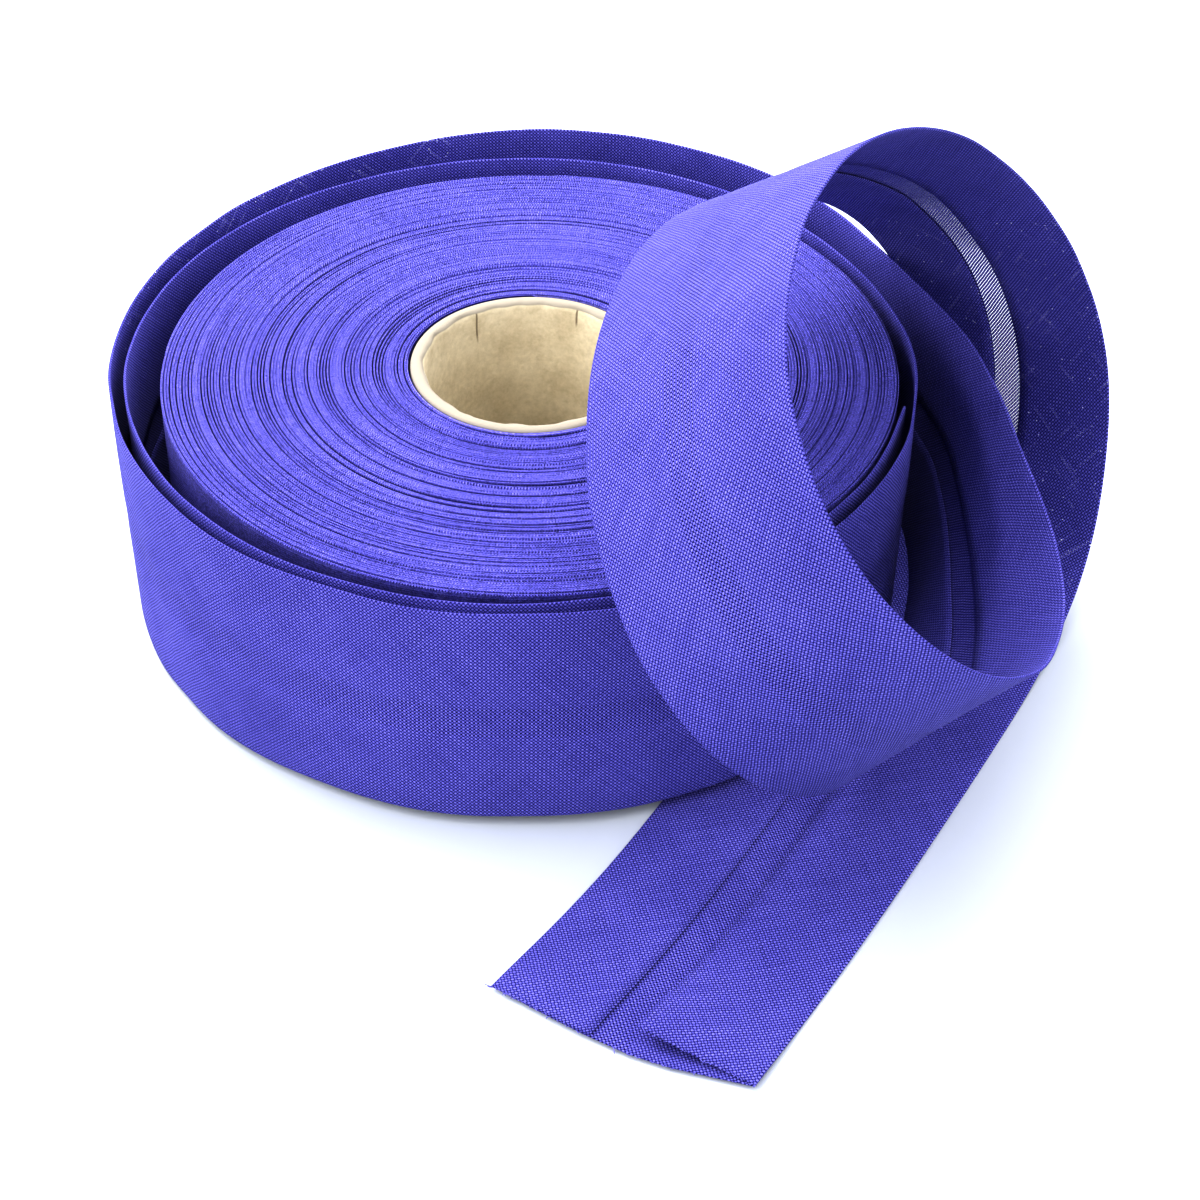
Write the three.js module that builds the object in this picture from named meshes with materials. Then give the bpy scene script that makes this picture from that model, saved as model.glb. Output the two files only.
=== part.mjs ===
// A roll of folded bias binding on a cardboard tube, its two outer turns loose and its end
// laid in a twisted loop. Millimetres, +Z up, the table at z = 0.
import * as THREE from "three";

// The tape
const TAPE_WIDTH = 40;          // folded width, edge to edge
const CLOTH = 1.0;              // thickness of the sheet between the two raw edges
const FLAP_RISE = 0.2;          // step up to the folded-over sides
const LEFT_FLAP = 16.5;         // width of the folded-over side at the first edge
const RIGHT_FLAP = 18;          // width of the folded-over side at the second edge

// The wound part and its tube
const WOUND_RADIUS = 59.6;
const ROLL_HEIGHT = 40;
const TUBE_RADIUS = 19.6;
const TUBE_BORE = 17.2;
const FIT_GAP = 0.35;           // left between neighbouring solids
const RIM_SOFTNESS = 0.5;       // rounding of the tube's rim and of the outermost turn

// The roll stands with one side on the flat tail, so it leans a little
const LEAN = 0.0185;            // rise per millimetre across the roll
const LEAN_X = 0.87;            // level direction in which the roll rises
const LEAN_Y = -0.49;
const LOW_SIDE = 69.6;          // distance from the middle to the side that touches the table

// Sweep of the loose tape
const TURN_STEP = 20;           // degrees between two rows on the loose turns
const LAST_TURN_ANGLE = 650;    // where the loose turn meets the wound part
const STEPS_PER_ROW = 6;

// The middle of the model's floor area, moved to the origin
const CENTRE_X = 13.86;
const CENTRE_Y = -19.28;

// Turns lie in groups at slightly different heights: outer radius and drop of each group
const TURN_GROUPS = [
  { radius: 21.0, drop: 0.3 },
  { radius: 24.0, drop: 0.9 },
  { radius: 27.5, drop: 0.4 },
  { radius: 29.0, drop: 1.0 },
  { radius: 33.5, drop: 0.2 },
  { radius: 34.5, drop: 0.9 },
  { radius: 38.5, drop: 0.0 },
  { radius: 40.0, drop: 0.8 },
  { radius: 45.0, drop: 0.1 },
  { radius: 46.0, drop: 0.7 },
  { radius: 50.0, drop: 0.0 },
  { radius: 51.0, drop: 0.6 },
  { radius: 55.5, drop: 0.2 },
  { radius: 56.3, drop: 0.7 },
];

// Loop and tail, from the cut end on: the place of the right and of the left folded edge
const LOOP_ROWS = [
  { at: "cut end", rx: 35, ry: -115, rz: 0, lx: 0, ly: -95, lz: 0 },
  { at: "tail", rx: 49, ry: -92, rz: 0, lx: 15, ly: -73, lz: 0 },
  { at: "tail", rx: 62, ry: -69, rz: 0, lx: 27, ly: -50, lz: 0 },
  { at: "under the roll", rx: 75, ry: -45, rz: 0, lx: 40, ly: -26, lz: 0 },
  { at: "under the roll", rx: 87, ry: -22, rz: 0, lx: 52, ly: -3, lz: 0 },
  { at: "rising", rx: 97, ry: 0, rz: 10, lx: 67, ly: 22, lz: 0 },
  { at: "rising", rx: 97, ry: 15, rz: 39, lx: 69, ly: 41, lz: 26 },
  { at: "rising", rx: 84, ry: 13, rz: 64, lx: 54, ly: 37, lz: 51 },
  { at: "crown", rx: 69, ry: 3, rz: 83, lx: 37, ly: 19, lz: 64 },
  { at: "crown", rx: 52, ry: -14, rz: 96, lx: 22, ly: -1, lz: 73 },
  { at: "crown", rx: 39, ry: -38, rz: 99, lx: 11, ly: -27, lz: 73 },
  { at: "front band", rx: 33, ry: -64, rz: 93, lx: 8, ly: -52, lz: 65 },
  { at: "front band", rx: 39, ry: -88, rz: 77, lx: 13, ly: -75, lz: 50 },
  { at: "bend", rx: 59, ry: -92, rz: 56, lx: 29, ly: -85, lz: 30 },
  { at: "bend", rx: 77, ry: -74, rz: 41, lx: 50, ly: -72, lz: 12 },
  { at: "bend", rx: 82, ry: -46, rz: 39, lx: 56, ly: -46, lz: 9 },
  { at: "wall", rx: 77, ry: -20, rz: 42, lx: 63, ly: -22, lz: 5 },
  { at: "wall", rx: 73, ry: 5, rz: 44, lx: 66, ly: 6, lz: 5 },
  { at: "wall", rx: 61, ry: 32, rz: 42, lx: 58, ly: 31, lz: 2 },
  { at: "wall", rx: 49, ry: 57, rz: 41, lx: 50, ly: 57, lz: 1 },
];

// Loose turns, going in towards the wound part: outer radius at the upper and lower edge
const LOOSE_TURNS = [
  { angle: 70, upper: 75.5, lower: 75.5 },
  { angle: 90, upper: 77.0, lower: 76.0 },
  { angle: 120, upper: 74.0, lower: 73.0 },
  { angle: 150, upper: 71.0, lower: 69.5 },
  { angle: 180, upper: 68.6, lower: 66.6 },
  { angle: 210, upper: 66.8, lower: 66.8 },
  { angle: 240, upper: 65.2, lower: 65.6 },
  { angle: 270, upper: 64.2, lower: 64.8 },
  { angle: 300, upper: 63.8, lower: 64.6 },
  { angle: 330, upper: 62.6, lower: 63.0 },
  { angle: 360, upper: 61.6, lower: 61.8 },
  { angle: 390, upper: 62.0, lower: 61.8 },
  { angle: 420, upper: 64.0, lower: 63.4 },
  { angle: 450, upper: 66.0, lower: 65.0 },
  { angle: 480, upper: 66.5, lower: 65.6 },
  { angle: 510, upper: 66.8, lower: 65.6 },
  { angle: 540, upper: 66.4, lower: 64.6 },
  { angle: 570, upper: 64.6, lower: 64.4 },
  { angle: 600, upper: 62.8, lower: 63.2 },
  { angle: 630, upper: 61.8, lower: 62.2 },
  { angle: 660, upper: 61.5, lower: 61.6 },
  { angle: 690, upper: 61.4, lower: 61.4 },
];

// Height of the leaning roll's underside above the table
function undersideAt(x, y) {
  return LEAN * (x * LEAN_X + y * LEAN_Y + LOW_SIDE);
}

// Radius from the loose turn table, straight between its rows
function turnRadius(angle, column) {
  const next = Math.max(1, LOOSE_TURNS.findIndex((row) => row.angle >= angle));
  const a = LOOSE_TURNS[next - 1];
  const b = LOOSE_TURNS[next];
  const share = (angle - a.angle) / (b.angle - a.angle);
  return a[column] + (b[column] - a[column]) * share;
}

// The rows of both folded edges: the loop's table and then the loose turns
function edgeRows() {
  const rows = LOOP_ROWS.map((row) => ({
    right: new THREE.Vector3(row.rx, row.ry, row.rz),
    left: new THREE.Vector3(row.lx, row.ly, row.lz),
  }));
  // a smooth curve through rows on a circle runs inside them by this factor
  const inset = 3 / (2 + Math.cos(THREE.MathUtils.degToRad(TURN_STEP)));
  for (let angle = 70; angle <= LAST_TURN_ANGLE; angle += TURN_STEP) {
    const pull = angle < LAST_TURN_ANGLE ? inset : 1;
    const turn = THREE.MathUtils.degToRad(angle);
    const x = Math.cos(turn);
    const y = Math.sin(turn);
    const upper = turnRadius(angle, "upper");
    const lower = turnRadius(angle, "lower");
    const foot = undersideAt(x * lower, y * lower);
    rows.push({
      right: new THREE.Vector3(x * upper * pull, y * upper * pull, foot + ROLL_HEIGHT),
      left: new THREE.Vector3(x * lower * pull, y * lower * pull, foot),
    });
  }
  return rows;
}

// Point of a uniform cubic spline guided by the rows
function splinePoint(points, place) {
  const last = points.length - 1;
  const before = points[0].clone().multiplyScalar(2).sub(points[1]);
  const after = points[last].clone().multiplyScalar(2).sub(points[last - 1]);
  const all = [before, ...points, after];
  const span = Math.min(Math.floor(place), last - 1);
  const t = place - span;
  const weights = [
    (1 - t) ** 3,
    3 * t ** 3 - 6 * t ** 2 + 4,
    -3 * t ** 3 + 3 * t ** 2 + 3 * t + 1,
    t ** 3,
  ];
  const point = new THREE.Vector3();
  weights.forEach((weight, i) => point.addScaledVector(all[span + i], weight / 6));
  return point;
}

// Section of the folded tape: across from the left edge, and up from the smooth face
function tapeSection() {
  const half = TAPE_WIDTH / 2;
  const full = CLOTH + FLAP_RISE;
  const leftRaw = -half + LEFT_FLAP;
  const rightRaw = half - RIGHT_FLAP;
  return [
    [-half, 0],
    [half, 0],
    [half, full],
    [rightRaw + FLAP_RISE, full],
    [rightRaw, CLOTH],
    [leftRaw, CLOTH],
    [leftRaw - FLAP_RISE, full],
    [-half, full],
  ];
}

// One closed body from rings of points, its two ends capped
function skinRings(rings, capTriangles) {
  const size = rings[0].length;
  const positions = [];
  const faces = [];
  rings.forEach((ring) => ring.forEach((p) => positions.push(p.x, p.y, p.z)));
  for (let i = 0; i + 1 < rings.length; i += 1) {
    for (let k = 0; k < size; k += 1) {
      const a = i * size + k;
      const b = i * size + ((k + 1) % size);
      faces.push(a, b + size, b);
      faces.push(a, a + size, b + size);
    }
  }
  const end = (rings.length - 1) * size;
  capTriangles.forEach(([a, b, c]) => {
    faces.push(a, b, c);
    faces.push(end + a, end + c, end + b);
  });
  const geometry = new THREE.BufferGeometry();
  geometry.setAttribute("position", new THREE.Float32BufferAttribute(positions, 3));
  geometry.setIndex(faces);
  geometry.computeVertexNormals();
  return geometry;
}

// The loose tape: its section carried along the two folded edges
function looseTapeGeometry() {
  const rows = edgeRows();
  const rightEdge = rows.map((row) => row.right);
  const leftEdge = rows.map((row) => row.left);
  const section = tapeSection();
  const count = (rows.length - 1) * STEPS_PER_ROW;
  const rings = [];
  for (let i = 0; i <= count; i += 1) {
    const place = i / STEPS_PER_ROW;
    const right = splinePoint(rightEdge, place);
    const left = splinePoint(leftEdge, place);
    const middle = right.clone().add(left).multiplyScalar(0.5);
    const near = place < 1 ? place + 0.02 : place - 0.02;
    const nearMiddle = splinePoint(rightEdge, near).add(splinePoint(leftEdge, near));
    const along = nearMiddle.multiplyScalar(0.5).sub(middle);
    along.multiplyScalar(near > place ? 1 : -1).normalize();
    const across = right.clone().sub(left);
    const width = across.length();
    across.normalize();
    const inward = across.clone().cross(along).normalize();
    rings.push(section.map(([w, n]) => middle.clone()
      .addScaledVector(across, w * width / TAPE_WIDTH).addScaledVector(inward, n)));
  }
  const cap = [[0, 1, 4], [0, 4, 5], [1, 2, 3], [1, 3, 4], [0, 5, 6], [0, 6, 7]];
  return skinRings(rings, cap);
}

// A ring body turned about the roll's axis, from radius and height pairs
function turnedGeometry(profile, segments) {
  const points = profile.map(([radius, height]) => new THREE.Vector2(radius, height));
  points.push(points[0].clone());
  const geometry = new THREE.LatheGeometry(points, segments);
  geometry.rotateX(Math.PI / 2);
  return geometry;
}

// The tube: a plain ring with softened rims
function coreGeometry() {
  const s = RIM_SOFTNESS;
  return turnedGeometry([
    [TUBE_BORE, s],
    [TUBE_BORE + s, 0],
    [TUBE_RADIUS - s, 0],
    [TUBE_RADIUS, s],
    [TUBE_RADIUS, ROLL_HEIGHT - s],
    [TUBE_RADIUS - s, ROLL_HEIGHT],
    [TUBE_BORE + s, ROLL_HEIGHT],
    [TUBE_BORE, ROLL_HEIGHT - s],
  ], 96);
}

// The wound part: flat below, its groups of turns at different heights above
function woundRollGeometry() {
  const inner = TUBE_RADIUS + FIT_GAP;
  const profile = [[inner, 0], [WOUND_RADIUS - RIM_SOFTNESS, 0], [WOUND_RADIUS, RIM_SOFTNESS]];
  profile.push([WOUND_RADIUS, ROLL_HEIGHT - RIM_SOFTNESS]);
  profile.push([WOUND_RADIUS - RIM_SOFTNESS, ROLL_HEIGHT]);
  const groups = [...TURN_GROUPS].reverse();
  let height = ROLL_HEIGHT;
  groups.forEach((group) => {
    profile.push([group.radius + 0.1, height]);
    height = ROLL_HEIGHT - group.drop;
    profile.push([group.radius - 0.1, height]);
  });
  profile.push([inner, height]);
  return turnedGeometry(profile, 120);
}

// Tip a body of the roll about its low side, so that it rests on the tail
function leanRoll(geometry) {
  const axis = new THREE.Vector3(-LEAN_Y, LEAN_X, 0).normalize().negate();
  const angle = Math.atan(LEAN);
  const matrix = new THREE.Matrix4().makeRotationAxis(axis, angle);
  matrix.setPosition(0, 0, LEAN * LOW_SIDE);
  geometry.applyMatrix4(matrix);
  return geometry;
}

function namedMesh(name, geometry, colour) {
  const material = new THREE.MeshStandardMaterial({ color: colour, roughness: 0.9 });
  material.name = `${name}_material`;
  geometry.translate(-CENTRE_X, -CENTRE_Y, 0);
  const mesh = new THREE.Mesh(geometry, material);
  mesh.name = name;
  return mesh;
}

const model = new THREE.Group();
model.name = "bias_binding_roll";
model.add(namedMesh("core", leanRoll(coreGeometry()), 0xd9c7a0));
model.add(namedMesh("wound_roll", leanRoll(woundRollGeometry()), 0x5a52c8));
model.add(namedMesh("loose_tape", looseTapeGeometry(), 0x4a40b8));

export default model;
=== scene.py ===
import math

import bmesh
import bpy
import numpy as np
from mathutils import Matrix, Vector


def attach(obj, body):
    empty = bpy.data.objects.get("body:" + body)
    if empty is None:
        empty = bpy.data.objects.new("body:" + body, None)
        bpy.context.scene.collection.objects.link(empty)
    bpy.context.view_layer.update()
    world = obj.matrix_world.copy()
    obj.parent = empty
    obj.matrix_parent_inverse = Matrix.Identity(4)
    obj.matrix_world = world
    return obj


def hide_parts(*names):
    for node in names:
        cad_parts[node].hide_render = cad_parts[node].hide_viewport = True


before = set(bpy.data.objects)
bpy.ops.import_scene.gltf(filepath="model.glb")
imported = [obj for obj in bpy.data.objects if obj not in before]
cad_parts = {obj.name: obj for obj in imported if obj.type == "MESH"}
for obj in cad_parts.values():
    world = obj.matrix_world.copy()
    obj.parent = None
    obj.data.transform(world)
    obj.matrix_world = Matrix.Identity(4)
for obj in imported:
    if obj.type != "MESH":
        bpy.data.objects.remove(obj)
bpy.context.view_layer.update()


# Camera
# The roll is seen from above and in front with a long lens. The place and the turn of the
# camera were found from the rims of the wound part and of the tube.
CAMERA_PLACE = (-0.00106, -0.31496, 0.27330)
CAMERA_YAW = -0.167
CAMERA_DOWN = 40.166
CAMERA_ROLL = 1.792
CAMERA_LENS = 74.957

camera_data = bpy.data.cameras.new("photo_camera")
camera_data.lens = CAMERA_LENS
camera_data.sensor_width = 36.0
camera_data.clip_start = 0.01
camera = bpy.data.objects.new("photo_camera", camera_data)
bpy.context.scene.collection.objects.link(camera)
turned = (
    Matrix.Rotation(math.radians(-CAMERA_YAW), 4, "Z")
    @ Matrix.Rotation(math.radians(90.0 - CAMERA_DOWN), 4, "X")
    @ Matrix.Rotation(math.radians(CAMERA_ROLL), 4, "Z")
)
camera.matrix_world = Matrix.Translation(Vector(CAMERA_PLACE)) @ turned
bpy.context.scene.camera = camera


# Table and light
# A smooth near-white table in a bright room. Soft light comes from six sides, most of it from
# behind and least from the right. The table runs on as its own backdrop and isn't part of
# the object.
TABLE_SIZE = 6.0
TABLE_COLOUR = (0.46, 0.48, 0.52, 1.0)
SKY_COLOUR = (0.93, 0.96, 1.0, 1.0)
SKY_STRENGTH = 1.90
TONE_GAMMA = 0.70
# name, place in metres, size in metres, watts
SOFT_LIGHTS = (
    ("left_light", (-0.9, -0.1, 0.8), 0.9, 7.5),
    ("back_left_light", (-0.7, 0.7, 0.9), 0.9, 21.5),
    ("front_left_light", (-0.7, -0.8, 0.7), 0.9, 8.5),
    ("top_light", (0.0, 0.1, 1.4), 1.2, 5.0),
    ("back_light", (0.1, 1.0, 0.9), 0.9, 17.5),
    ("right_light", (0.9, 0.0, 0.8), 0.9, 4.2),
)


def new_material(name):
    """An empty node material: the material, its node tree and its Principled shader."""
    material = bpy.data.materials.new(name)
    material.use_nodes = True
    tree = material.node_tree
    tree.nodes.clear()
    shader = tree.nodes.new("ShaderNodeBsdfPrincipled")
    output = tree.nodes.new("ShaderNodeOutputMaterial")
    tree.links.new(shader.outputs["BSDF"], output.inputs["Surface"])
    return material, tree, shader


def set_inputs(node, inputs):
    """Each socket, by name or number, gets a number, a colour or another node's output."""
    for socket, value in inputs.items():
        if isinstance(value, bpy.types.NodeSocket):
            node.id_data.links.new(value, node.inputs[socket])
        else:
            node.inputs[socket].default_value = value


bpy.ops.mesh.primitive_plane_add(size=TABLE_SIZE, location=(0.0, 0.0, 0.0))
table = bpy.context.active_object
table.name = "table"
table_material, tree, shader = new_material("white_table")
set_inputs(shader, {"Base Color": TABLE_COLOUR, "Roughness": 0.6})
table.data.materials.append(table_material)

world = bpy.data.worlds.new("soft_room")
world.use_nodes = True
set_inputs(world.node_tree.nodes["Background"], {"Color": SKY_COLOUR, "Strength": SKY_STRENGTH})
bpy.context.scene.world = world
view = bpy.context.scene.view_settings
view.view_transform = "Standard"
view.look = "None"
view.gamma = TONE_GAMMA

for light_name, place, size, watts in SOFT_LIGHTS:
    light_data = bpy.data.lights.new(light_name, "AREA")
    light_data.shape = "DISK"
    light_data.size = size
    light_data.energy = watts
    light = bpy.data.objects.new(light_name, light_data)
    bpy.context.scene.collection.objects.link(light)
    light.location = place
    light.rotation_euler = Vector(place).to_track_quat("Z", "Y").to_euler()


# Cardboard tube
# A short length of spirally wound paper board, light cut rims and brown kraft inside.
# The roll leans a little because one side of it stands on the flat tail of the tape.
ROLL_MIDDLE = np.array([-0.01386, 0.01928, 0.0])
LEAN = 0.0185
LEAN_WAY = np.array([0.87, -0.49])
LOW_SIDE = 0.0696
ROLL_HEIGHT = 0.040
TUBE_RADIUS = 0.0196
TUBE_BORE = 0.0172
TUBE_STEPS = 192
# how far the torn inner edge of the rim wanders sideways and down
TORN_SIDEWAYS = 0.00036
TORN_DOWN = 0.00010
KRAFT_DARK = (0.46, 0.405, 0.295, 1.0)
KRAFT_LIGHT = (0.60, 0.53, 0.40, 1.0)
RIM_CREAM = (0.26, 0.232, 0.190, 1.0)
# where kraft gives way to the cut rim, measured up the bore and over the rim
RIM_START = 0.0381
RIM_FULL = 0.0383
# two short cracks in the inner ply, down from the rim: degrees round the bore, length
CRACKS = ((124.0, 0.0054), (66.0, 0.0026))
CRACK_TOP = 0.0374
CRACK_HALF_WIDTH = 0.00019
CRACK_COLOUR = (0.12, 0.085, 0.05, 1.0)


def leaning(points):
    """Points of the upright roll, tipped by the small angle of the lean about the level
    line square to the lean's way, then lifted so that the low side touches the table."""
    angle = math.atan(LEAN)
    axis = Vector((LEAN_WAY[1], -LEAN_WAY[0], 0.0)).normalized()
    turn = np.array(Matrix.Rotation(angle, 3, axis))
    lift = np.array([0.0, 0.0, LEAN * LOW_SIDE])
    return points @ turn.T + lift + ROLL_MIDDLE


def surface(name, points, marks, loop=False, caps=()):
    """One mesh of quads between the neighbouring points of a grid. marks is the grid of UV
    pairs in metres, one column wider than points where loop joins the last column to the
    first. caps is a list of extra quads, each four (row, column) pairs."""
    rows, columns = points.shape[:2]
    index = np.arange(rows * columns).reshape(rows, columns)
    if loop:
        index = np.hstack([index, index[:, :1]])

    def corners(grid):
        return np.stack([grid[:-1, :-1], grid[:-1, 1:], grid[1:, 1:], grid[1:, :-1]], 2)

    faces = corners(index).reshape(-1, 4)
    uv = corners(marks).reshape(-1, 2)
    if len(caps):
        caps = np.array(caps)
        faces = np.vstack([faces, index[caps[..., 0], caps[..., 1]]])
        uv = np.vstack([uv, marks[caps[..., 0], caps[..., 1]].reshape(-1, 2)])
    mesh = bpy.data.meshes.new(name)
    mesh.from_pydata(points.reshape(-1, 3).tolist(), [], faces.tolist())
    layer = mesh.uv_layers.new(name="UVMap")
    layer.data.foreach_set("uv", uv.astype(np.float32).ravel())
    piece = bpy.data.objects.new(name, mesh)
    bpy.context.scene.collection.objects.link(piece)
    return piece


def tidy_mesh(piece):
    """Doubles merged, thin leftovers dissolved, faces turned outwards and smooth."""
    work = bmesh.new()
    work.from_mesh(piece.data)
    bmesh.ops.remove_doubles(work, verts=work.verts, dist=1e-6)
    bmesh.ops.dissolve_degenerate(work, edges=work.edges, dist=1e-6)
    bmesh.ops.recalc_face_normals(work, faces=work.faces)
    work.to_mesh(piece.data)
    work.free()
    piece.data.polygons.foreach_set("use_smooth", [True] * len(piece.data.polygons))
    piece.data.update()


def add_node(tree, kind, inputs=None, **settings):
    """One shader node with its own options set first, then its sockets."""
    node = tree.nodes.new("ShaderNode" + kind)
    for name, value in settings.items():
        setattr(node, name, value)
    set_inputs(node, inputs or {})
    return node


def math_node(tree, operation, *values):
    """Output of one Math node; a value is a number or another node's output."""
    node = add_node(tree, "Math", dict(enumerate(values)), operation=operation)
    return node.outputs["Value"]


def colour_mix(tree, blend, factor, first, second):
    """Output of one colour Mix node; factor 1 gives the second colour where blend is MIX."""
    node = add_node(tree, "Mix", {"Factor": factor, "A": first, "B": second},
                    data_type="RGBA", blend_type=blend)
    return node.outputs["Result"]


def colour_ramp(tree, value, *stops):
    """Output of one colour ramp; each stop is a position and a colour."""
    node = add_node(tree, "ValToRGB", {"Fac": value})
    elements = node.color_ramp.elements
    elements[0].position, elements[0].color = stops[0]
    elements[1].position, elements[1].color = stops[-1]
    for position, colour in stops[1:-1]:
        elements.new(position).color = colour
    return node.outputs["Color"]


def own_uv(tree):
    """The two outputs of the piece's own UV map, in metres."""
    uv = add_node(tree, "UVMap", uv_map="UVMap")
    parts = add_node(tree, "SeparateXYZ", {"Vector": uv.outputs["UV"]})
    return parts.outputs["X"], parts.outputs["Y"]


def tube_points():
    """A ring about the upright axis. Its section runs up the bore, over the rim and down
    the outside; the bore's rim edge wanders by a fraction of a millimetre, like torn paper."""
    draws = np.random.default_rng(7)
    turn = np.linspace(0.0, 2.0 * np.pi, TUBE_STEPS + 1)[:, None]
    # share of the wall from bore (0) to outside (1), height from the lower end in mm
    section = np.array([
        (0.00, 1.2), (0.00, 8.0), (0.00, 20.0), (0.00, 32.0), (0.00, 38.6), (0.04, 39.2),
        (0.12, 39.6), (0.30, 39.85), (0.50, 39.9), (0.75, 39.85), (0.94, 39.6), (1.00, 39.1),
        (1.00, 20.0), (1.00, 0.9), (0.94, 0.4), (0.75, 0.1), (0.30, 0.1), (0.06, 0.5),
    ])
    wall = TUBE_RADIUS - TUBE_BORE
    share, rise = section.T[:, None, :]
    wander = sum(
        draws.normal(0.0, 1.0 / (k ** 0.8)) * np.cos(k * turn + draws.uniform(0.0, 6.28))
        for k in range(2, 34)
    )
    near_rim = np.exp(-((share - 0.08) / 0.13) ** 2) * (rise > 38.0)
    radius = TUBE_BORE + wall * share + TORN_SIDEWAYS * wander * near_rim
    height = 0.001 * rise - TORN_DOWN * np.abs(wander) * near_rim
    points = np.stack([radius * np.cos(turn), radius * np.sin(turn), height], 2)
    step = np.hypot(1000.0 * wall * np.diff(section[:, 0]), np.diff(section[:, 1]))
    run = np.concatenate([[0.0], np.cumsum(step)])
    run = 0.001 * np.append(run, run[-1] + 1.0)
    marks = np.stack(np.broadcast_arrays(turn * TUBE_RADIUS, run[None, :]), 2)
    return leaning(points), marks


points, marks = tube_points()
tube = surface("cardboard_tube", points, marks, loop=True)
tidy_mesh(tube)

tube_material, tree, shader = new_material("paper_board")
around_bore, up_bore = own_uv(tree)
place = add_node(tree, "TexCoord").outputs["Object"]
fibres = add_node(tree, "TexNoise", {
    "Vector": place, "Scale": 900.0, "Detail": 6.0, "Roughness": 0.7}).outputs["Fac"]
blotches = add_node(tree, "TexNoise", {
    "Vector": place, "Scale": 160.0, "Detail": 4.0}).outputs["Fac"]
kraft = colour_ramp(tree, fibres, (0.30, KRAFT_DARK), (0.72, KRAFT_LIGHT))
board = colour_mix(tree, "SOFT_LIGHT", 0.55, kraft, blotches)
# the blotches also make the cracks crooked
bent = math_node(tree, "ADD", around_bore,
                 math_node(tree, "MULTIPLY_ADD", blotches, 0.0008, -0.0004))
for crack_angle, crack_length in CRACKS:
    beside_crack = math_node(tree, "COMPARE", bent, math.radians(crack_angle) * TUBE_RADIUS,
                             CRACK_HALF_WIDTH)
    down_crack = add_node(tree, "MapRange", {
        "Value": up_bore, "From Min": CRACK_TOP - crack_length,
        "From Max": CRACK_TOP - 0.6 * crack_length, "To Max": 0.75}).outputs["Result"]
    in_crack = math_node(tree, "MULTIPLY", beside_crack, down_crack)
    board = colour_mix(tree, "MIX", in_crack, board, CRACK_COLOUR)
rim = add_node(tree, "MapRange", {
    "Value": up_bore, "From Min": RIM_START, "From Max": RIM_FULL}).outputs["Result"]
fuzz = add_node(tree, "Bump", {"Height": fibres, "Strength": 0.5, "Distance": 0.0002})
set_inputs(shader, {
    "Base Color": colour_mix(tree, "MIX", rim, board, RIM_CREAM),
    "Roughness": 0.9,
    "Normal": fuzz.outputs["Normal"],
})
tube.data.materials.append(tube_material)
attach(tube, "root")
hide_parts("core")


# Wound part
# Some twenty metres of folded tape wound edge on edge; what shows is the folded edge of
# each turn, a soft ridge half a millimetre wide. Turns sit a little higher or lower.
WOUND_INNER = 0.01985
WOUND_OUTER = 0.0596
TURN_PITCH = 0.0005
RIDGE_STEPS = 4
ROUND_STEPS = 232
# each end: how far it lies inside the tape's width, the crown of one ridge, and the edge of
# the ring where the spiral is cut off
END_SET_IN = 0.0002
RIDGE_CROWN = 0.00006
CUT_OFF_SINK = 0.0004
# groove depth where turns stand apart and where they touch, and the least strength of the painted
# shade in the line between turns
GAP_DEPTH = 0.0011
SHUT_GAP_DEPTH = 0.00009
SHUT_GAP_SHADE = 0.36
# the ends' UV: the folded edge lies this far from the tape's middle, and this much of the
# cloth shows on one ridge
FOLD_PLACE = 0.02
RIDGE_CLOTH = 0.0007
# uneven height of the turns: height, step in turns, seed
TURN_WANDER = ((0.00009, 0.21, 11), (0.00005, 0.047, 12), (0.00012, 0.63, 13))
# groups of sunken turns: radius of the group in mm, width in mm, how far it sinks in mm
SUNKEN_TURNS = (
    (21.0, 1.2, 0.25), (24.0, 1.5, 0.4), (28.4, 2.0, 0.3), (33.8, 1.5, 0.5), (39.4, 1.8, 0.35),
    (45.4, 1.3, 0.3), (50.2, 1.3, 0.25), (56.5, 2.4, 0.3),
)
# radii in mm where two turns stand apart: the gap between them is a deeper groove and carries a
# darker line of painted shade
GAP_RADII = (20.6, 21.8, 24.0, 24.6, 27.5, 29.0, 30.2, 33.2, 34.3, 36.3, 38.5, 39.9, 42.0, 43.4,
             45.0, 47.5, 48.6, 50.0, 51.4, 53.0, 54.9, 56.0, 57.1, 58.2)


def eased_noise(place, step, seed):
    """Random heights between -1 and 1 at every step along a line, eased between them."""
    draws = np.random.default_rng(seed)
    last = int(np.ceil(place.max() / step)) + 2
    values = draws.uniform(-1.0, 1.0, last + 1)
    spot = np.clip(place / step, 0.0, last - 1.001)
    cell = np.floor(spot).astype(int)
    share = spot - cell
    share = share * share * (3.0 - 2.0 * share)
    return values[cell] * (1.0 - share) + values[cell + 1] * share


def turn_height(turns):
    """Height of the folded edge at a place along the winding, counted in turns: small eased
    steps, and groups of turns that sink by a smooth hump, deeper on some sides than others."""
    height = sum(rise * eased_noise(turns, step, seed) for rise, step, seed in TURN_WANDER)
    radius = 1000.0 * (WOUND_INNER + TURN_PITCH * turns)
    for number, (middle, width, sink) in enumerate(SUNKEN_TURNS):
        away = np.abs(radius - middle) / (width * 0.5)
        share = 0.62 + 0.38 * np.cos(2.0 * np.pi * turns + 1.9 * number + 1.0)
        height = height - 0.001 * sink * share * np.exp(-away ** 4)
    return height


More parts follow.
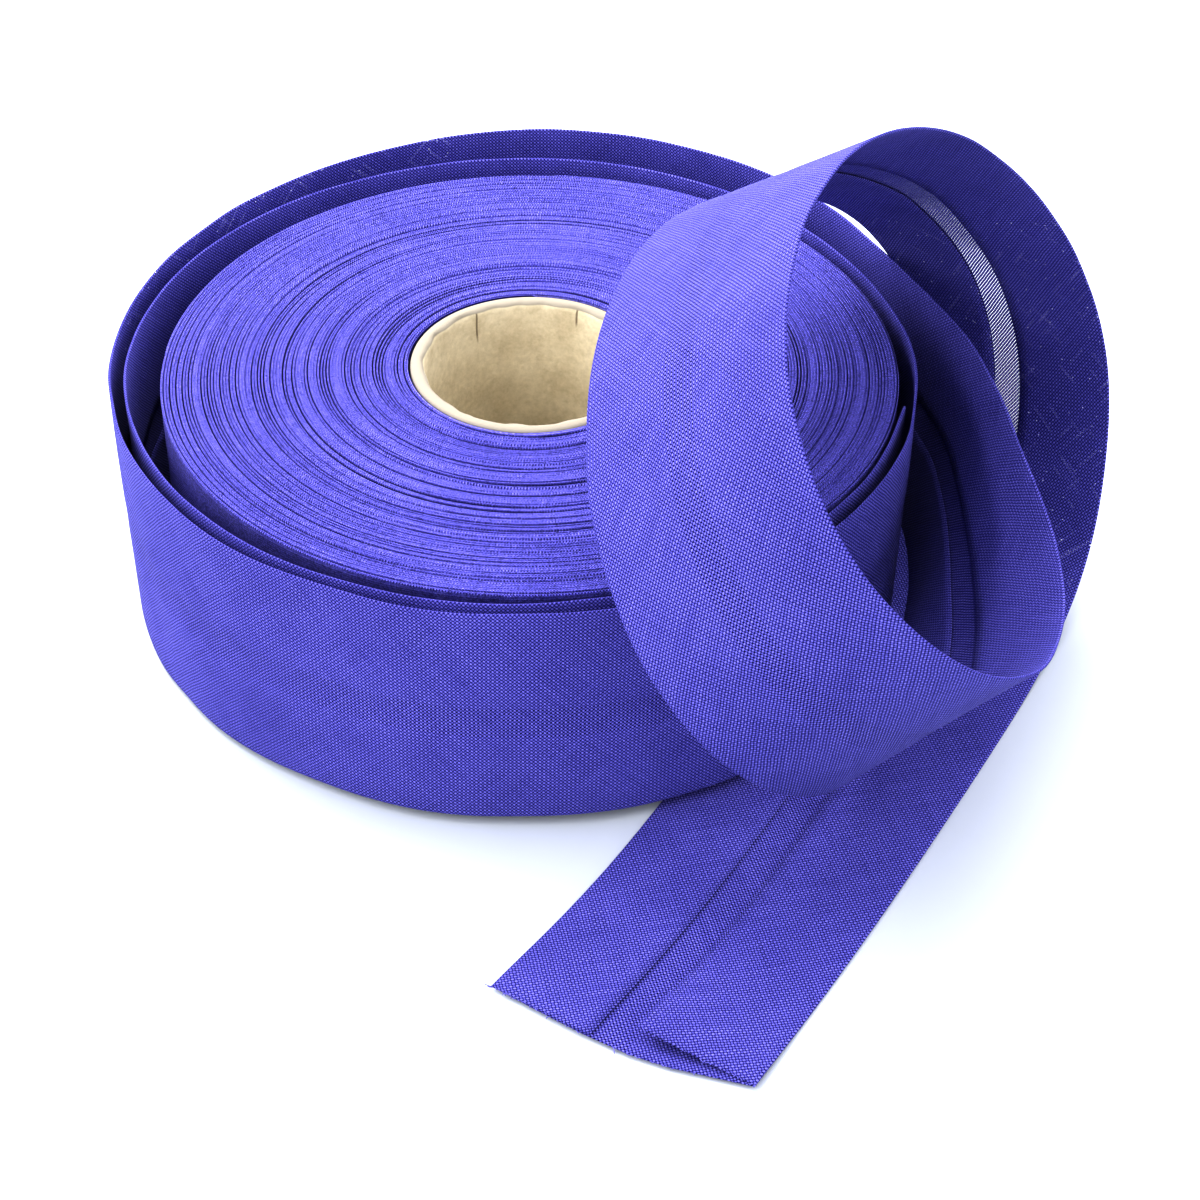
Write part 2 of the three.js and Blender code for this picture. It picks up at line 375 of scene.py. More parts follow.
def gap_depth(turns):
    """Depth of the groove on the inner side of a turn: shallow where the turns touch, deep
    where they stand apart, at the listed radii and here and there between them."""
    radius = 1000.0 * (WOUND_INNER + TURN_PITCH * turns)
    deep = np.clip(1.5 * eased_noise(turns, 0.83, 18) - 0.45, 0.0, 0.8)
    for number, middle in enumerate(GAP_RADII):
        share = 0.55 + 0.45 * np.cos(2.0 * np.pi * turns + 2.4 + 0.7 * np.sin(3.1 * number))
        deep = np.maximum(deep, share * np.exp(-((radius - middle) / 0.34) ** 2))
    return SHUT_GAP_DEPTH * (1.0 + 0.6 * eased_noise(turns, 0.031, 17)) + GAP_DEPTH * deep


def winding_end(level, way, steps, pitch):
    """One end of the winding. Point j of a turn lies on a spiral of radius inner + pitch *
    (turn + j / steps + angle / full turn - 1), clipped to the ring, so that each turn runs on
    into the next. Its first and last points are the grooves it shares with its neighbours."""
    count = int(round((WOUND_OUTER - WOUND_INNER) / pitch)) + 1
    turn = np.repeat(np.arange(count), steps + 1)[None, :]
    share = np.tile(np.arange(steps + 1) / steps, count)[None, :]
    angle = np.linspace(0.0, 1.0, ROUND_STEPS + 1)[:, None]
    radius = WOUND_INNER + pitch * (turn + share + angle - 1.0)
    radius = np.clip(radius, WOUND_INNER, WOUND_OUTER)
    place = np.maximum(turn - 1 + angle, 0.0) * pitch / TURN_PITCH
    beside = pitch / TURN_PITCH
    own = turn_height(place)
    before = turn_height(np.maximum(place - beside, 0.0))
    after = turn_height(place + beside)
    height = own - RIDGE_CROWN * (2.0 * share - 1.0) ** 2
    inner_gap = gap_depth(place)
    outer_gap = gap_depth(place + beside)
    height = np.where(share == 0.0, np.minimum(own, before) - inner_gap, height)
    height = np.where(share == 1.0, np.minimum(own, after) - outer_gap, height)
    clipped = (radius <= WOUND_INNER) | (radius >= WOUND_OUTER)
    # strength of the painted shade in the line between turns: some even where turns touch, more
    # where the groove is deep
    gap = np.where(share < 0.5, inner_gap, np.where(share > 0.5, outer_gap, 0.0)) / GAP_DEPTH
    gap = np.clip(SHUT_GAP_SHADE + 0.9 * gap, 0.0, 1.0)
    height = level + way * (np.where(clipped, -CUT_OFF_SINK, height) - END_SET_IN)
    spin = 2.0 * np.pi * angle
    points = np.stack([radius * np.cos(spin), radius * np.sin(spin), height], 2)
    along = 2.0 * np.pi * (WOUND_INNER * place + 0.5 * TURN_PITCH * place ** 2) + 0.0 * share
    # the weave drifts along each turn, so that its dashes don't line up from turn to turn
    along = along + 0.005 * eased_noise(place, 0.37, 19)
    across = FOLD_PLACE + RIDGE_CLOTH * (share - 0.5) + 0.0 * angle
    return points, np.stack([along, across], 2), gap


def winding():
    """The closed body: the upper end, down the smooth outermost turn, the lower end back to
    the tube, and the inner wall, as one grid that closes on itself."""
    top, top_marks, top_gap = winding_end(ROLL_HEIGHT, 1.0, RIDGE_STEPS, TURN_PITCH)
    # the lower end is hidden and gets ridges of two turns each
    under, under_marks, under_gap = winding_end(0.0, -1.0, 2, 2.0 * TURN_PITCH)
    share = np.linspace(0.0, 1.0, 8)[None, 1:-1, None]
    side = top[:, -1:] * (1.0 - share) + under[:, -1:] * share
    around = np.linspace(0.0, 2.0 * np.pi * WOUND_OUTER, ROUND_STEPS + 1)[:, None]
    across = FOLD_PLACE * (1.0 - 2.0 * share[..., 0])
    side_marks = np.stack(np.broadcast_arrays(around, across), 2)
    points = np.concatenate([top, side, under[:, ::-1]], 1)
    marks = np.concatenate([top_marks, side_marks, under_marks[:, ::-1]], 1)
    gap = np.concatenate([top_gap, 0.0 * side[..., 0], under_gap[:, ::-1]], 1)
    return points, np.concatenate([marks, marks[:, :1]], 1), gap


points, marks, gap = winding()
wound = surface("wound_turns", leaning(points), marks, loop=True)
shade = wound.data.attributes.new("gap_shade", "FLOAT", "POINT")
shade.data.foreach_set("value", gap.astype(np.float32).ravel())
tidy_mesh(wound)


def weave_group():
    """Plain weave on the cloth's own UV in metres, threads at 45 degrees to the tape. Two sets
    of sine threads cross: where the product of the sines is positive one set lies on top,
    elsewhere the other, which lies a little deeper, and each crown is a rounded thread. Out
    come the height of the surface, a thread shade with slubs, the small holes between four
    threads, and which half of the holes is the deeper one."""
    group = bpy.data.node_groups.new("plain_weave", "ShaderNodeTree")
    interface = group.interface
    interface.new_socket("UV", in_out="INPUT", socket_type="NodeSocketVector")
    for name in ("Threads per metre", "Hole size", "Hole squash"):
        interface.new_socket(name, in_out="INPUT", socket_type="NodeSocketFloat")
    for name in ("Height", "Shade", "Hole", "Deeper"):
        interface.new_socket(name, in_out="OUTPUT", socket_type="NodeSocketFloat")
    inside = group.nodes.new("NodeGroupInput").outputs
    outside = group.nodes.new("NodeGroupOutput")

    def maths(operation, *values):
        return math_node(group, operation, *values)

    # the threads wander by a third of a millimetre
    drift = add_node(group, "TexNoise", {"Vector": inside["UV"], "Scale": 260.0, "Detail": 2.0})
    wander = add_node(group, "VectorMath", {
        0: drift.outputs["Color"], 1: (0.00035, 0.00035, 0.0), 2: inside["UV"],
    }, operation="MULTIPLY_ADD")
    parts = add_node(group, "SeparateXYZ", {"Vector": wander.outputs["Vector"]}).outputs
    half_turn = maths("MULTIPLY", inside["Threads per metre"], math.pi * 0.70711)
    sum_uv = maths("MULTIPLY", maths("ADD", parts["X"], parts["Y"]), half_turn)
    gap_uv = maths("MULTIPLY", maths("SUBTRACT", parts["X"], parts["Y"]), half_turn)
    sine_a = maths("SINE", sum_uv)
    sine_b = maths("SINE", gap_uv)
    wave_a = maths("ABSOLUTE", sine_a)
    wave_b = maths("ABSOLUTE", sine_b)
    over = maths("GREATER_THAN", maths("MULTIPLY", sine_a, sine_b), 0.0)
    crown_a = maths("MULTIPLY", wave_a, maths("MULTIPLY_ADD", wave_b, 0.55, 0.45))
    crown_b = maths("MULTIPLY", wave_b, maths("MULTIPLY_ADD", wave_a, 0.38, 0.28))
    height = add_node(group, "Mix", {"Factor": over, "A": crown_b, "B": crown_a})
    widest = maths("MAXIMUM", wave_b, maths("MULTIPLY", wave_a, inside["Hole squash"]))
    both_cosines = maths("MULTIPLY", maths("COSINE", sum_uv), maths("COSINE", gap_uv))

    # slubs: noise drawn out along each set of threads
    shades = []
    for stretch in ((90.0, 2600.0, 1.0), (2600.0, 90.0, 1.0)):
        turned = add_node(group, "Mapping", {
            "Vector": inside["UV"], "Rotation": (0.0, 0.0, math.radians(-45.0))})
        pulled = add_node(group, "VectorMath", {
            0: turned.outputs["Vector"], 1: stretch}, operation="MULTIPLY")
        slub = add_node(group, "TexNoise", {
            "Vector": pulled.outputs["Vector"], "Scale": 1.0, "Detail": 1.0})
        shades.append(slub.outputs["Fac"])
    slubs = add_node(group, "Mix", {"Factor": over, "A": shades[0], "B": shades[1]})
    set_inputs(outside, {
        "Height": height.outputs["Result"],
        "Shade": slubs.outputs["Result"],
        "Hole": maths("LESS_THAN", widest, inside["Hole size"]),
        "Deeper": maths("GREATER_THAN", both_cosines, 0.0),
    })
    return group


THREADS_PER_METRE = 2220.0
# cloth colours from painted shade in the weave's hollows, through the cloth's own blue-violet, to
# the thread crowns; DEEP_SHADE is the painted shade put into gaps and shut holes
CLOTH_DARK = (0.006, 0.005, 0.065, 1.0)
CLOTH_MID = (0.075, 0.067, 0.31, 1.0)
CLOTH_LIGHT = (0.185, 0.168, 0.54, 1.0)
DEEP_SHADE = (0.002, 0.001, 0.035, 1.0)
plain_weave = weave_group()


def cloth_material(name, threads_per_metre, bump_height):
    """Blue-violet cotton: the weave lifts the surface and paints shade into the colour, darkest
    in the hollows between threads and on the deeper set of threads, and faded and darker patches
    a few centimetres wide lie over it. The colour is handed back for what lies on top of it, such
    as gaps and holes, and the weave for its masks."""
    material, tree, shader = new_material(name)
    uv = add_node(tree, "UVMap", uv_map="UVMap")
    weave = add_node(tree, "Group", node_tree=plain_weave)
    set_inputs(weave, {"UV": uv.outputs["UV"], "Threads per metre": threads_per_metre,
                       "Hole size": 0.0, "Hole squash": 1.0})
    # painted shade: the colour follows the weave's height, darkest in the hollows between threads
    # and on the deeper set of threads
    threads = colour_ramp(tree, weave.outputs["Height"], (0.12, CLOTH_DARK), (0.42, CLOTH_MID),
                          (0.78, CLOTH_LIGHT))
    slubs = colour_mix(tree, "SOFT_LIGHT", 0.6, threads, weave.outputs["Shade"])
    place = add_node(tree, "TexCoord").outputs["Object"]
    patches = add_node(tree, "TexNoise", {"Vector": place, "Scale": 55.0, "Detail": 3.0})
    colour = colour_mix(tree, "SOFT_LIGHT", 0.3, slubs, patches.outputs["Fac"])
    bump = add_node(tree, "Bump", {
        "Height": weave.outputs["Height"], "Strength": 0.7, "Distance": bump_height})
    set_inputs(shader, {
        "Roughness": 0.85,
        "Sheen Weight": 0.04,
        "Sheen Roughness": 0.4,
        "Sheen Tint": (0.75, 0.75, 1.0, 1.0),
        "Specular IOR Level": 0.12,
        "Normal": bump.outputs["Normal"],
    })
    return material, tree, shader, weave, colour


# only the short parts of the threads that turn over the fold are seen, so they lie closer
wound_cloth, tree, shader, weave, colour = cloth_material(
    "wound_cloth", 1.4 * THREADS_PER_METRE, 0.00012)
# painted shade: the dark line between two turns, from the place across the ridge (-0.5 to 0.5);
# it is wider and darker where the turns stand apart
gap_shade = add_node(tree, "Attribute", attribute_name="gap_shade").outputs["Fac"]
ridge_place = math_node(tree, "MULTIPLY_ADD", own_uv(tree)[1], 1.0 / RIDGE_CLOTH,
                        -FOLD_PLACE / RIDGE_CLOTH)
line = add_node(tree, "MapRange", {
    "Value": math_node(tree, "ABSOLUTE", ridge_place),
    "From Min": math_node(tree, "MULTIPLY_ADD", gap_shade, -0.24, 0.44),
    "From Max": math_node(tree, "MULTIPLY_ADD", gap_shade, -0.14, 0.49),
}, interpolation_type="SMOOTHSTEP").outputs["Result"]
dark = add_node(tree, "Math", {0: line, 1: gap_shade}, operation="MULTIPLY", use_clamp=True)
# loose fibres on the folds make the ends of the roll look grainy
place = add_node(tree, "TexCoord").outputs["Object"]
fuzz = add_node(tree, "TexNoise", {"Vector": place, "Scale": 3000.0, "Detail": 2.0})
grain = add_node(tree, "MapRange", {
    "Value": fuzz.outputs["Fac"], "From Min": 0.3, "From Max": 0.7,
    "To Min": 0.60, "To Max": 1.75}).outputs["Result"]
grainy = colour_mix(tree, "MULTIPLY", 1.0, colour, grain)
shaded = colour_mix(tree, "MIX", dark.outputs["Value"], grainy, DEEP_SHADE)
set_inputs(shader, {"Base Color": shaded})
wound.data.materials.append(wound_cloth)
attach(wound, "root")
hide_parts("wound_roll")


# Loose tape
# The same bias-cut strip, its two sides pressed to the middle of one face. The two outer
# turns stand loose round the roll, then the tape flares into a twisted loop and a flat tail.
TAPE_WIDTH = 0.040
CLOTH_THICKNESS = 0.00014
FLAP_GAP = 0.00014
LEFT_FLAP = 0.0165
RIGHT_FLAP = 0.0180
ROW_SPACING = 0.0021
TURN_STEP = 20.0
LAST_TURN_ANGLE = 710.0
# the cut isn't square: how far it runs out along the tape, in mm, across the width
CUT_ACROSS = (-20.0, -9.0, -3.0, 2.0, 8.0, 13.0, 16.0, 20.0)
CUT_OUT = (3.0, 3.4, 3.5, 3.3, 2.4, 0.9, 0.0, -1.2)
# cloth without a flap over it: from the left raw edge to the right one
BARE_LEFT = -0.0035
BARE_RIGHT = 0.0020
# the far side of the loop: middle and half length, counted from the cut end
FAR_SIDE = (0.195, 0.065)
# where on it the slots in the single cloth begin to close, and where they are shut
CLOSING = (0.170, 0.245)
# size of the holes in the two layers, in the single cloth, and of the slots with their squash
TWO_LAYER_HOLE = 0.50
SINGLE_HOLE = 0.75
SLOT_HOLE = 0.28
SLOT_SQUASH = 0.24
# how dark the painted shade in the shut holes is, in the two layers and in the single cloth
TWO_LAYER_HOLE_SHADE = 0.50
SINGLE_HOLE_SHADE = 0.95
# stretches where light pricks through both layers, painted into the colour as pale spots: middle
# and half length
PRICKED = ((0.155, 0.035), (0.625, 0.045))
PAINTED_THROUGH_LIGHT = (0.88, 0.88, 0.98, 1.0)
# how far the flaps lift at their raw edges, and the right one at the cut end
LEFT_LIFT = 0.00010
RIGHT_LIFT = 0.00017
CUT_LIFT = 0.0023
# the bare strip is made thinner, so that the holes in its two faces lie behind each other
BARE_THICKNESS = 0.2 * CLOTH_THICKNESS
# ripples of the tape past its flat tail, and how high the cut end hovers over the table
RIPPLE_START = 0.135
RIPPLE = 0.00022
FINE_RIPPLE = 0.00015
CUT_HOVER = 0.0006
# the place of the right and of the left folded edge in mm, from the cut end on
LOOP_ROWS = np.array([
    # right x, y, z, left x, y, z
    (35, -115, 0, 0, -95, 0),      # cut end
    (49, -92, 0, 15, -73, 0),      # tail
    (62, -69, 0, 27, -50, 0),
    (75, -45, 0, 40, -26, 0),      # under the roll
    (87, -22, 0, 52, -3, 0),
    (97, 0, 10, 67, 22, 0),        # rising
    (97, 15, 39, 69, 41, 26),
    (84, 13, 64, 54, 37, 51),
    (69, 3, 83, 37, 19, 64),       # crown
    (52, -14, 96, 22, -1, 73),
    (39, -38, 99, 11, -27, 73),
    (33, -64, 93, 8, -52, 65),     # front band
    (39, -88, 77, 13, -75, 50),
    (59, -92, 56, 29, -85, 30),    # bend
    (77, -74, 41, 50, -72, 12),
    (82, -46, 39, 56, -46, 9),
    (77, -20, 42, 63, -22, 5),     # wall
    (73, 5, 44, 66, 6, 5),
    (61, 32, 42, 58, 31, 2),
    (49, 57, 41, 50, 57, 1),
])
# the loose turns, going in: angle, then outer radius in mm at the upper and lower edge
LOOSE_TURNS = np.array([
    (70, 75.5, 75.5), (90, 77.0, 76.0), (120, 74.0, 73.0), (150, 71.0, 69.5),
    (180, 68.6, 66.6), (210, 66.8, 66.8), (240, 65.2, 65.6), (270, 64.2, 64.8),
    (300, 63.8, 64.6), (330, 62.6, 63.0), (360, 61.6, 61.8), (390, 62.0, 61.8),
    (420, 64.0, 63.4), (450, 66.0, 65.0), (480, 66.5, 65.6), (510, 66.8, 65.6),
    (540, 66.4, 64.6), (570, 64.6, 64.4), (600, 62.8, 63.2), (630, 61.8, 62.2),
    (660, 60.9, 61.1), (690, 60.4, 60.5), (720, 60.3, 60.3),
])


def edge_rows():
    """Guide points of both folded edges: the loop's table, then the loose turns, each guide
    point set out by 3 / (2 + cos step) because the spline runs inside its guides."""
    angle = np.arange(70.0, LAST_TURN_ANGLE + 0.1, TURN_STEP)
    upper = np.interp(angle, LOOSE_TURNS[:, 0], LOOSE_TURNS[:, 1])
    lower = np.interp(angle, LOOSE_TURNS[:, 0], LOOSE_TURNS[:, 2])
    out = 3.0 / (2.0 + math.cos(math.radians(TURN_STEP)))
    out = np.where(angle < LAST_TURN_ANGLE, out, 1.0)
    way = np.stack([np.cos(np.radians(angle)), np.sin(np.radians(angle))], 1)
    foot = LEAN * (lower * (way @ LEAN_WAY) + 1000.0 * LOW_SIDE)
    right = np.column_stack([way * (upper * out)[:, None], foot + 1000.0 * ROLL_HEIGHT])
    left = np.column_stack([way * (lower * out)[:, None], foot])
    rows = np.vstack([LOOP_ROWS, np.hstack([right, left])]) * 0.001
    return rows + np.tile(ROLL_MIDDLE, 2)


def spline(guides, place):
    """Uniform cubic spline: the four nearest guides weighted by the cubic basis
    (1-t)^3, 3t^3-6t^2+4, -3t^3+3t^2+3t+1 and t^3, over six."""
    first = 2.0 * guides[:1] - guides[1:2]
    last = 2.0 * guides[-1:] - guides[-2:-1]
    guides = np.vstack([first, guides, last])
    cell = np.clip(np.floor(place).astype(int), 0, len(guides) - 4)
    t = (place - cell)[:, None]
    return (
        (1.0 - t) ** 3 * guides[cell]
        + (3.0 * t ** 3 - 6.0 * t ** 2 + 4.0) * guides[cell + 1]
        + (-3.0 * t ** 3 + 3.0 * t ** 2 + 3.0 * t + 1.0) * guides[cell + 2]
        + t ** 3 * guides[cell + 3]
    ) / 6.0


def unit(vectors):
    """Vectors of length one."""
    return vectors / np.linalg.norm(vectors, axis=-1, keepdims=True)


def tape_path():
    """Evenly spaced rows along the tape: distance from the cut end, the middle of the smooth
    face, the way across towards the right edge, the way along towards the roll, the way
    towards the folded side, and the width."""
    rows = edge_rows()
    fine = np.linspace(0.0, len(rows) - 1.0, 6000)
    edges = spline(rows, fine)
    middle = 0.5 * (edges[:, :3] + edges[:, 3:])
    run = np.concatenate([[0.0], np.cumsum(np.linalg.norm(np.diff(middle, axis=0), axis=1))])
    count = int(run[-1] / ROW_SPACING)
    distance = np.linspace(0.0, run[-1], count + 1)
    place = np.interp(distance, run, fine)
    edges = spline(rows, place)
    middle = 0.5 * (edges[:, :3] + edges[:, 3:])
    across = edges[:, :3] - edges[:, 3:]
    width = np.linalg.norm(across, axis=1)
    across = unit(across)
    along = unit(np.gradient(middle, axis=0))
    inward = unit(np.cross(across, along))
    return distance, middle, across, along, inward, width


def folded_section():
    """Middle line of the cloth in one section, from the left raw edge to the right one: the
    left flap, half a circle round the left fold, the base, the right fold and the right flap.
    Columns: place across, height above the smooth face, cloth coordinate, which layer."""
    half = 0.5 * TAPE_WIDTH
    low = 0.5 * CLOTH_THICKNESS
    high = low + CLOTH_THICKNESS + FLAP_GAP
    bend = 0.5 * (high - low)
    edge = half - bend - 0.5 * CLOTH_THICKNESS
    left = np.linspace(-half + LEFT_FLAP, -edge, 9)
    base = np.array([-edge, -0.0165, -0.013, -0.0095, -0.006, -0.0037, -0.0034, -0.0008, 0.0019,
                     0.0022, 0.0052, 0.0088, 0.0125, 0.0163, edge])
    right = np.linspace(edge, half - RIGHT_FLAP, 9)
    turn = np.linspace(0.0, np.pi, 6)[1:-1]
    across = np.concatenate([
        left, -edge - bend * np.sin(turn), base, edge + bend * np.sin(turn), right])
    height = np.concatenate([
        np.full(left.size, high), low + bend * (1.0 + np.cos(turn)), np.full(base.size, low),
        low + bend * (1.0 - np.cos(turn)), np.full(right.size, high)])
    step = np.hypot(np.diff(across), np.diff(height))
    cloth = np.concatenate([[0.0], np.cumsum(step)])
    base_start = left.size + turn.size
    cloth = cloth - np.interp(0.0, base, cloth[base_start:base_start + base.size])
    layer = np.repeat([-1.0, -0.5, 0.0, 0.5, 1.0],
                      [left.size, turn.size, base.size, turn.size, right.size])
    return across, height, cloth, layer


def tape_points():
    """The folded strip as one closed shell: the section's middle line with half the cloth's
    thickness on either side, carried along the path. The whole tape ripples slightly and each
    flap lifts a little from its fold to its raw edge. At the cut end the cloth bulges out
    along the tape by a flat arc, hovers just over the table, and the right flap stands up."""
    distance, middle, way_across, way_along, inward, width = tape_path()
    across, height, cloth, layer = folded_section()
    half = 0.5 * TAPE_WIDTH
    from_fold = np.clip((half - np.abs(across)) / LEFT_FLAP, 0.0, 1.0)[None, :]
    run = distance[:, None]
    at_end = np.exp(-(run / 0.013) ** 2)
    left_flap = (layer < -0.6)[None, :]
    right_flap = (layer > 0.6)[None, :]
    lift = left_flap * LEFT_LIFT * (1.0 + eased_noise(run, 0.023, 21)) * from_fold ** 1.6
    lift = lift + right_flap * RIGHT_LIFT * (1.3 + eased_noise(run, 0.019, 22)) * from_fold ** 3.0
    lift = lift + right_flap * CUT_LIFT * at_end * from_fold ** 1.15
    out = 0.001 * np.interp(1000.0 * across, CUT_ACROSS, CUT_OUT)[None, :]
    flap_out = 0.001 * (CUT_OUT[-1] + 1.5 * from_fold)
    slide = -np.where(right_flap, flap_out, out) * np.exp(-run / 0.012)
    height = height[None, :] + lift
    across = across[None, :] * (width / TAPE_WIDTH)[:, None] + 0.0 * height
    tangent = unit(np.stack([np.gradient(across, axis=1), np.gradient(height, axis=1)], 2))
    bare = (layer == 0.0) & (cloth > BARE_LEFT) & (cloth < BARE_RIGHT)
    thick = np.where(bare, BARE_THICKNESS, CLOTH_THICKNESS)[None, :, None]
    side = np.stack([-tangent[..., 1], tangent[..., 0]], 2) * 0.5 * thick
    ripple = RIPPLE * eased_noise(run, 0.017, 31)
    ripple = ripple + FINE_RIPPLE * eased_noise(run + across * 0.7, 0.009, 32)
    ripple = ripple * np.clip((run - RIPPLE_START) / 0.02, 0.0, 1.0)
    ripple = ripple + CUT_HOVER * np.exp(-(run / 0.010) ** 2)

    def laid(across, height):
        return (middle[:, None, :] + way_across[:, None, :] * across[..., None]
                + way_along[:, None, :] * slide[..., None]
                + inward[:, None, :] * (height + ripple)[..., None])

    upper = laid(across + side[..., 0], height + side[..., 1])
    lower = laid(across - side[..., 0], height - side[..., 1])
    points = np.concatenate([upper, lower[:, ::-1]], 1)
    marks = np.stack(np.broadcast_arrays(run + slide, cloth[None, :]), 2)
    marks = np.concatenate([marks, marks[:, ::-1], marks[:, :1]], 1)
    return points, marks, distance


points, marks, distance = tape_points()
columns = points.shape[1]
ends = []
for row in (0, points.shape[0] - 1):
    for column in range(columns // 2 - 1):
        across_end = [column, column + 1, columns - 2 - column, columns - 1 - column]
        ends.append([(row, k) for k in across_end])
tape = surface("loose_tape_cloth", points, marks, loop=True, caps=ends)
tidy_mesh(tape)
tape_cloth, tree, shader, weave, colour = cloth_material(
    "tape_cloth", THREADS_PER_METRE, 0.00010)


def tape_math(operation, *values):
    """Output of one Math node of the tape's material."""
    return math_node(tree, operation, *values)


# light shows through the holes of the single cloth on the far side of the loop, less and less
# towards its crown; everywhere else the holes are shut and carry painted shade, most of all in
# the single cloth
along_tape, across_tape = own_uv(tree)
hole = weave.outputs["Hole"]
single = tape_math("COMPARE", across_tape, 0.5 * (BARE_LEFT + BARE_RIGHT),
                   0.5 * (BARE_RIGHT - BARE_LEFT))
slots = tape_math("MULTIPLY", single, tape_math("COMPARE", along_tape, *FAR_SIDE))
closing = add_node(tree, "MapRange", {
    "Value": along_tape, "From Min": CLOSING[0], "From Max": CLOSING[1]}).outputs["Result"]
narrower = tape_math("MULTIPLY", slots, closing)
shut_size = tape_math("MULTIPLY_ADD", tape_math("SUBTRACT", single, slots),
                      SINGLE_HOLE - TWO_LAYER_HOLE, TWO_LAYER_HOLE)
slot_size = tape_math("MULTIPLY_ADD", narrower, -SLOT_HOLE,
                      tape_math("MULTIPLY", slots, SLOT_HOLE - TWO_LAYER_HOLE))
set_inputs(weave, {
    "Hole size": tape_math("ADD", shut_size, slot_size),
    "Hole squash": tape_math("MULTIPLY_ADD", slots, SLOT_SQUASH - 1.0, 1.0),
})
open_spot = tape_math("MULTIPLY", hole, slots)
hole_shade_strength = tape_math("MULTIPLY_ADD", single, SINGLE_HOLE_SHADE - TWO_LAYER_HOLE_SHADE, TWO_LAYER_HOLE_SHADE)
# painted shade in the deeper half of the shut holes
painted_hole_shade = tape_math("MULTIPLY", tape_math("MULTIPLY", hole, weave.outputs["Deeper"]), hole_shade_strength)
shaded = colour_mix(tree, "MIX", painted_hole_shade, colour, DEEP_SHADE)
# painted light: pale spots in the colour where, seen from the folded side, light shows through
# both layers in single holes and in rows along a thread: on the far side of the loop and at the
# back of the outer turn
pricked_part = tape_math("MAXIMUM", tape_math("COMPARE", along_tape, *PRICKED[0]),
                         tape_math("COMPARE", along_tape, *PRICKED[1]))
on_flap = tape_math("GREATER_THAN", tape_math("ABSOLUTE", across_tape), 0.5 * TAPE_WIDTH)
in_row = tape_math("MULTIPLY", tape_math("GREATER_THAN", weave.outputs["Shade"], 0.68), hole)
place = add_node(tree, "TexCoord").outputs["Object"]
pricks = add_node(tree, "TexVoronoi", {"Vector": place, "Scale": 600.0})
single_spot = tape_math("LESS_THAN", pricks.outputs["Distance"], 0.065)
painted_light_spot = tape_math("MULTIPLY", tape_math("MAXIMUM", in_row, single_spot),
                  tape_math("MULTIPLY", pricked_part, on_flap))
set_inputs(shader, {
    "Base Color": colour_mix(tree, "MIX", painted_light_spot, shaded, PAINTED_THROUGH_LIGHT),
    "Alpha": tape_math("SUBTRACT", 1.0, open_spot),
})
tape.data.materials.append(tape_cloth)
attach(tape, "root")
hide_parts("loose_tape")


# Thread ends
# Short ends of the woven threads stick out all along the raw cut, at 45 degrees to it.
# They belong to the same cloth and nothing else holds them.
THREAD_RADIUS = 0.00008
END_COUNT = 64
END_SIDES = 5
# most ends are near the shortest, a few reach the longest
END_SHORTEST = 0.00020
END_SPREAD = 0.00060


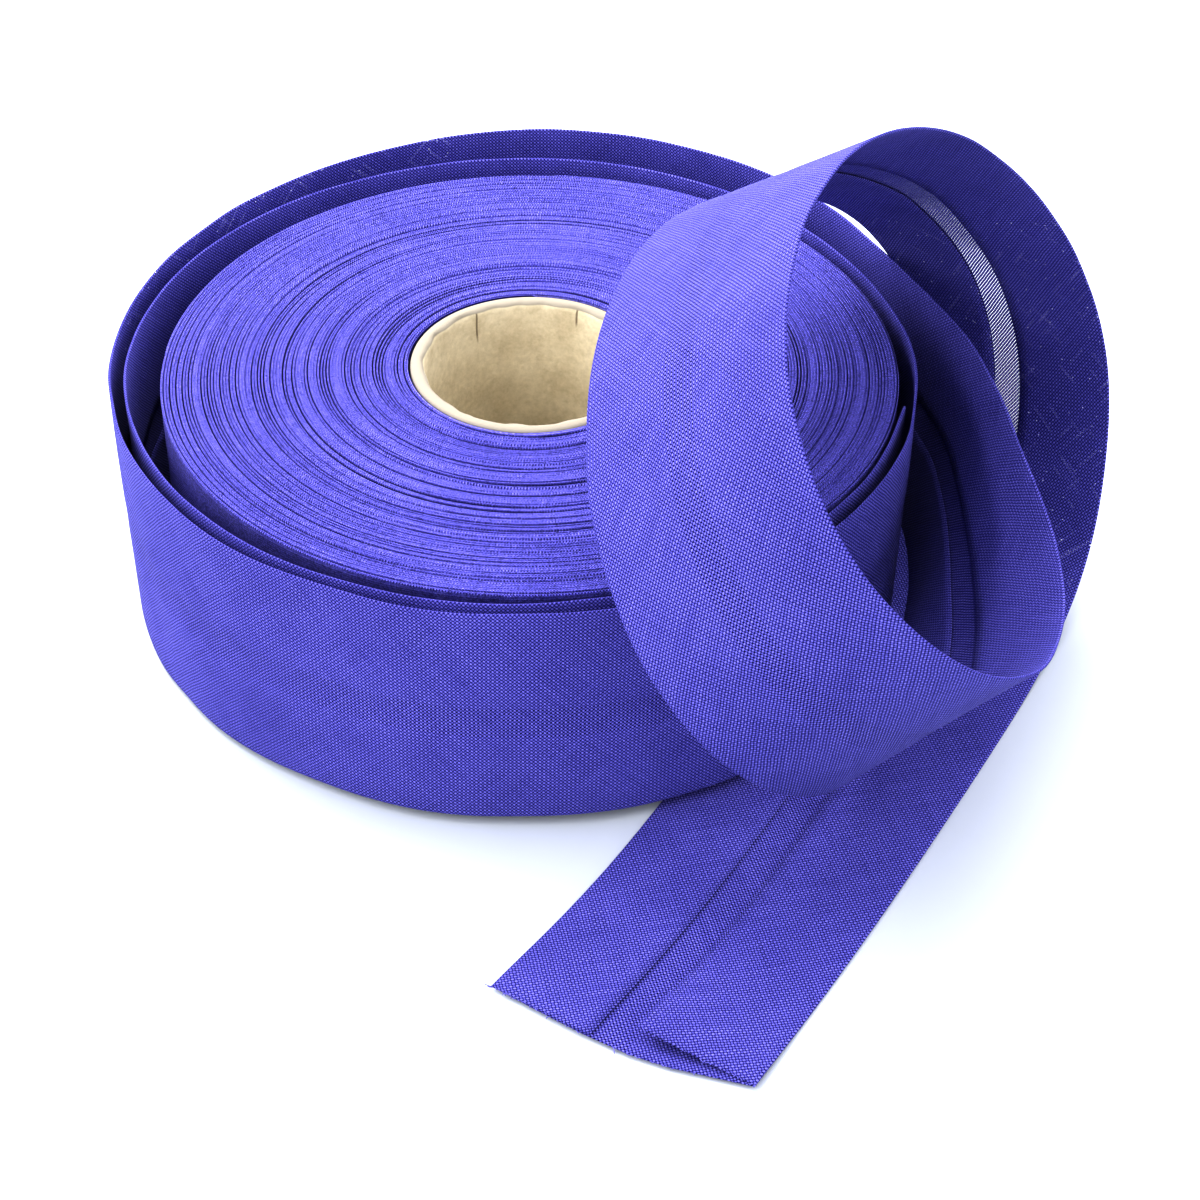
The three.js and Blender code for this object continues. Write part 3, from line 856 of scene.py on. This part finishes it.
def thread_ends():
    """Every end is a thin bent tube: rings of five points on a line that starts just inside
    the cut, runs out at about 45 degrees and curls by a quadratic term, closed at both tips."""
    draws = np.random.default_rng(41)
    half = points.shape[1] // 2
    middle_line = 0.5 * (points[:2, :half] + points[:2, ::-1][:, :half])
    spot = np.sort(draws.uniform(0.3, half - 1.3, END_COUNT))
    cell = np.floor(spot).astype(int)
    share = (spot - cell)[:, None]
    start = middle_line[0, cell] * (1.0 - share) + middle_line[0, cell + 1] * share
    inner = middle_line[1, cell] * (1.0 - share) + middle_line[1, cell + 1] * share
    out = unit(start - inner)
    beside = unit(np.cross(out, np.array([0.0, 0.0, 1.0])))
    slant = draws.choice([-1.0, 1.0], END_COUNT)[:, None]
    slant = slant * draws.uniform(0.5, 1.1, (END_COUNT, 1))
    way = unit(out + slant * beside)
    length = END_SHORTEST + END_SPREAD * draws.uniform(0.0, 1.0, (END_COUNT, 1)) ** 2.6
    curl = draws.normal(0.0, 0.5, (END_COUNT, 1)) * beside
    curl[:, 2] = draws.normal(-0.05, 0.25, END_COUNT)
    place = np.array([-0.35, 0.0, 0.3, 0.6, 0.85, 1.0])[None, :, None]
    line = start[:, None] + length[:, None] * (way[:, None] * place + curl[:, None] * place ** 2)
    radius = THREAD_RADIUS * np.array([1.0, 1.0, 1.0, 0.95, 0.8, 0.35])[None, :, None, None]
    turn = np.linspace(0.0, 2.0 * np.pi, END_SIDES, endpoint=False)
    up = unit(np.cross(beside, way))
    flat = unit(np.cross(way, up))
    around_x = np.cos(turn)[None, :, None] * flat[:, None]
    around_y = np.sin(turn)[None, :, None] * up[:, None]
    ring = around_x + around_y
    rings = line[:, :, None, :] + radius * ring[:, None]
    rings[..., 2] = np.maximum(rings[..., 2], 0.00003)
    return rings


rings = thread_ends()
count, steps = rings.shape[:2]
index = np.arange(count * steps * END_SIDES).reshape(count, steps, END_SIDES)
index = np.concatenate([index, index[..., :1]], 2)
sides = np.stack([index[:, :-1, :-1], index[:, :-1, 1:], index[:, 1:, 1:], index[:, 1:, :-1]], -1)
faces = sides.reshape(-1, 4).tolist() + index[:, 0, :-1].tolist() + index[:, -1, :-1].tolist()
ends_mesh = bpy.data.meshes.new("thread_ends")
ends_mesh.from_pydata(rings.reshape(-1, 3).tolist(), [], faces)
thread_piece = bpy.data.objects.new("thread_ends", ends_mesh)
bpy.context.scene.collection.objects.link(thread_piece)
tidy_mesh(thread_piece)
thread_cotton, tree, shader = new_material("thread_cotton")
place = add_node(tree, "TexCoord").outputs["Object"]
twist = add_node(tree, "TexNoise", {"Vector": place, "Scale": 6000.0})
ply = colour_ramp(tree, twist.outputs["Fac"], (0.3, CLOTH_MID), (0.7, CLOTH_LIGHT))
set_inputs(shader, {"Base Color": ply, "Roughness": 0.9})
thread_piece.data.materials.append(thread_cotton)
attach(thread_piece, "root")
